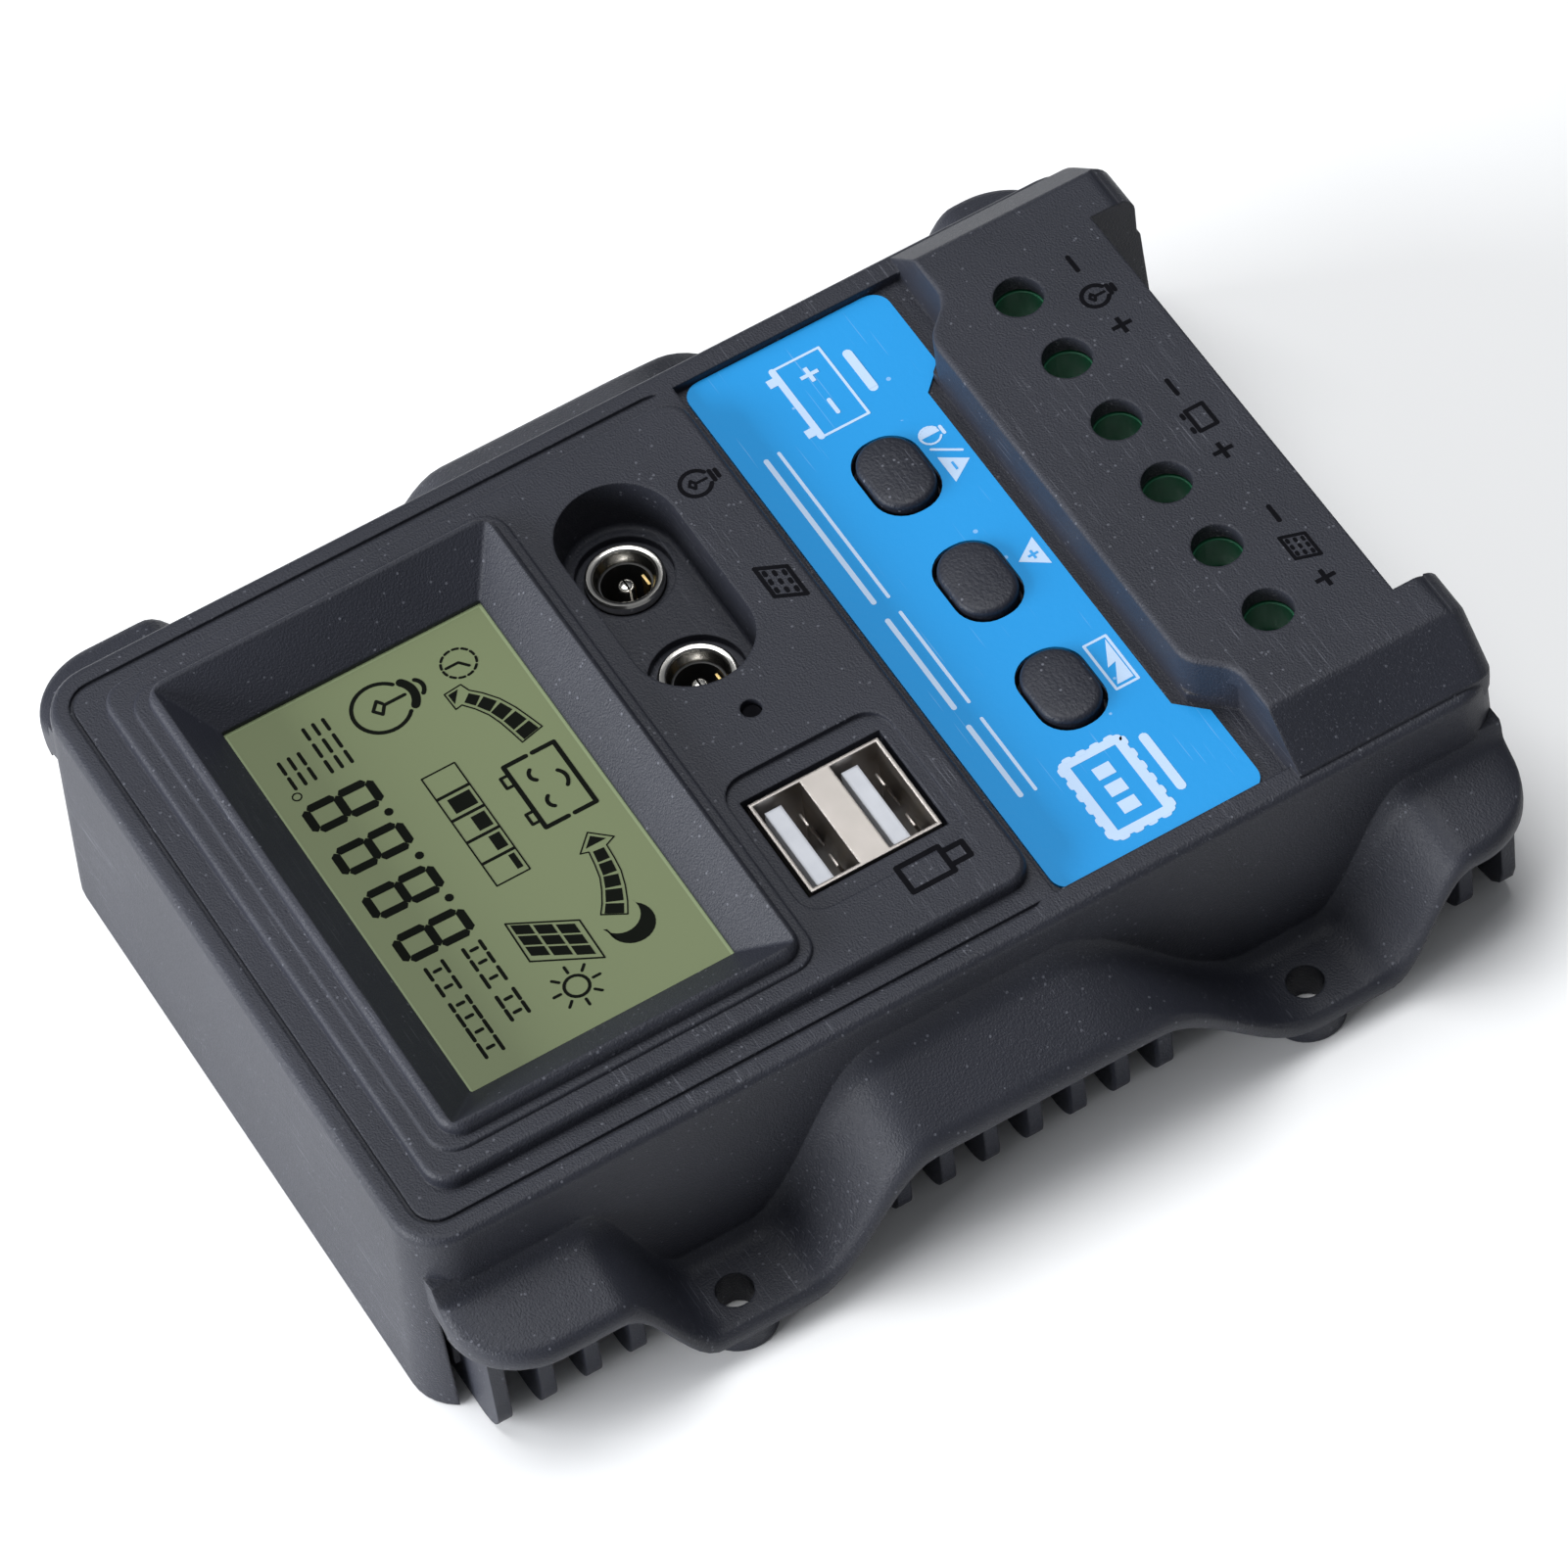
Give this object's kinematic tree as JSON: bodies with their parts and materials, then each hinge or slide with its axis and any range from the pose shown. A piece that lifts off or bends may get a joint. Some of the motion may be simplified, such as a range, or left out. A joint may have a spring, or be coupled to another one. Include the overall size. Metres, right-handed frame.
{
  "type": "solar charge controller",
  "caption": "Wall-mounted solar charge controller with a finned base, wavy mounting flanges, recessed display, press keys, charging sockets and a screw terminal row.",
  "frame": {"origin": "centre of the base plane, on which the four mounting feet stand", "axes": "+Z out of the front, +Y from the terminals towards the display, +X across"},
  "size_m": [0.1072, 0.134, 0.036],
  "materials": {
    "case_plastic": "fine moulded texture, dark slate",
    "base_plastic": "moulded, dark slate",
    "black_steel": "black oxide",
    "label_film": "satin printed film",
    "lcd_glass": "reflective display, satin",
    "diffuser": "milky",
    "black_plastic": "satin",
    "tinned_metal": "tinned",
    "circuit_board": "solder mask",
    "zinc_steel": "zinc plated",
    "header_plastic": "moulded",
    "key_plastic": "satin",
    "plunger_plastic": "moulded",
    "nickel": "nickel plated",
    "contact_metal": "plated",
    "usb_steel": "nickel-plated sheet",
    "white_plastic": "moulded",
    "led_red": "tinted",
    "clear_plastic": "clear",
    "terminal_green": "moulded",
    "cage_metal": "plated",
    "silicone_pad": "soft",
    "aluminium": "mill finish",
    "epoxy": "moulded",
    "capacitor_sleeve": "shrink sleeve",
    "ferrite": "painted core",
    "copper_wire": "enamelled",
    "fuse_plastic": "tinted"
  },
  "bodies": {
    "housing": {"upper_case": "case_plastic", "back_cover": "base_plastic", "case_screws": "black_steel", "label_overlay": "label_film", "lcd_glass": "lcd_glass", "lcd_backlight": "diffuser", "lcd_frame": "black_plastic", "lcd_pins": "tinned_metal", "display_board": "circuit_board", "key_board": "circuit_board", "front_board_screws": "zinc_steel", "display_header": "header_plastic", "key_header": "header_plastic", "tact_switches": "black_plastic", "jack_housings": "black_plastic", "jack_sleeves": "nickel", "jack_pins": "nickel", "jack_springs": "contact_metal", "usb_shell": "usb_steel", "usb_insulator": "white_plastic", "usb_contacts": "contact_metal", "status_led": "led_red", "light_guide": "clear_plastic", "terminal_body": "terminal_green", "terminal_bars": "tinned_metal", "main_board": "circuit_board", "board_screws": "zinc_steel", "thermal_pad": "silicone_pad", "heat_spreader": "aluminium", "mosfets": "epoxy", "mosfet_screws": "zinc_steel", "capacitors": "capacitor_sleeve", "inductor_core": "ferrite", "inductor_winding": "copper_wire", "controller_chip": "epoxy", "blade_fuse": "fuse_plastic"},
    "key_select": {"key_cap_select": "key_plastic", "plunger_select": "plunger_plastic"},
    "key_up": {"key_cap_up": "key_plastic", "plunger_up": "plunger_plastic"},
    "key_down": {"key_cap_down": "key_plastic", "plunger_down": "plunger_plastic"},
    "screw_1": {"terminal_screw_1": "zinc_steel"},
    "cage_1": {"wire_cage_1": "cage_metal"},
    "screw_2": {"terminal_screw_2": "zinc_steel"},
    "cage_2": {"wire_cage_2": "cage_metal"},
    "screw_3": {"terminal_screw_3": "zinc_steel"},
    "cage_3": {"wire_cage_3": "cage_metal"},
    "screw_4": {"terminal_screw_4": "zinc_steel"},
    "cage_4": {"wire_cage_4": "cage_metal"},
    "screw_5": {"terminal_screw_5": "zinc_steel"},
    "cage_5": {"wire_cage_5": "cage_metal"},
    "screw_6": {"terminal_screw_6": "zinc_steel"},
    "cage_6": {"wire_cage_6": "cage_metal"}
  },
  "joints": [
    {"name": "key_select_press", "type": "slide", "parent": "housing", "child": "key_select", "axis": [0, 0, -1], "range_m": [0, 0.0006], "stiffness_N_per_m": 1000, "springref_m": -0.0001},
    {"name": "key_up_press", "type": "slide", "parent": "housing", "child": "key_up", "axis": [0, 0, -1], "range_m": [0, 0.0006], "stiffness_N_per_m": 1000, "springref_m": -0.0001},
    {"name": "key_down_press", "type": "slide", "parent": "housing", "child": "key_down", "axis": [0, 0, -1], "range_m": [0, 0.0006], "stiffness_N_per_m": 1000, "springref_m": -0.0001},
    {"name": "screw_1_turn", "type": "hinge", "parent": "housing", "child": "screw_1", "pos_m": [-0.0254, -0.0475, 0.0269], "axis": [0, 0, 1], "range_deg": [-2190, 30]},
    {"name": "cage_1_climb", "type": "slide", "parent": "housing", "child": "cage_1", "axis": [0, 0, 1], "range_m": [0, 0.0042]},
    {"name": "screw_2_turn", "type": "hinge", "parent": "housing", "child": "screw_2", "pos_m": [-0.01524, -0.0475, 0.0269], "axis": [0, 0, 1], "range_deg": [-2190, 30]},
    {"name": "cage_2_climb", "type": "slide", "parent": "housing", "child": "cage_2", "axis": [0, 0, 1], "range_m": [0, 0.0042]},
    {"name": "screw_3_turn", "type": "hinge", "parent": "housing", "child": "screw_3", "pos_m": [-0.00508, -0.0475, 0.0269], "axis": [0, 0, 1], "range_deg": [-2190, 30]},
    {"name": "cage_3_climb", "type": "slide", "parent": "housing", "child": "cage_3", "axis": [0, 0, 1], "range_m": [0, 0.0042]},
    {"name": "screw_4_turn", "type": "hinge", "parent": "housing", "child": "screw_4", "pos_m": [0.00508, -0.0475, 0.0269], "axis": [0, 0, 1], "range_deg": [-2190, 30]},
    {"name": "cage_4_climb", "type": "slide", "parent": "housing", "child": "cage_4", "axis": [0, 0, 1], "range_m": [0, 0.0042]},
    {"name": "screw_5_turn", "type": "hinge", "parent": "housing", "child": "screw_5", "pos_m": [0.01524, -0.0475, 0.0269], "axis": [0, 0, 1], "range_deg": [-2190, 30]},
    {"name": "cage_5_climb", "type": "slide", "parent": "housing", "child": "cage_5", "axis": [0, 0, 1], "range_m": [0, 0.0042]},
    {"name": "screw_6_turn", "type": "hinge", "parent": "housing", "child": "screw_6", "pos_m": [0.0254, -0.0475, 0.0269], "axis": [0, 0, 1], "range_deg": [-2190, 30]},
    {"name": "cage_6_climb", "type": "slide", "parent": "housing", "child": "cage_6", "axis": [0, 0, 1], "range_m": [0, 0.0042]}
  ],
  "couplings": [
    {"joint": "screw_1_turn", "follows": "cage_1_climb", "rad_per_m": -8976},
    {"joint": "screw_2_turn", "follows": "cage_2_climb", "rad_per_m": -8976},
    {"joint": "screw_3_turn", "follows": "cage_3_climb", "rad_per_m": -8976},
    {"joint": "screw_4_turn", "follows": "cage_4_climb", "rad_per_m": -8976},
    {"joint": "screw_5_turn", "follows": "cage_5_climb", "rad_per_m": -8976},
    {"joint": "screw_6_turn", "follows": "cage_6_climb", "rad_per_m": -8976}
  ]
}
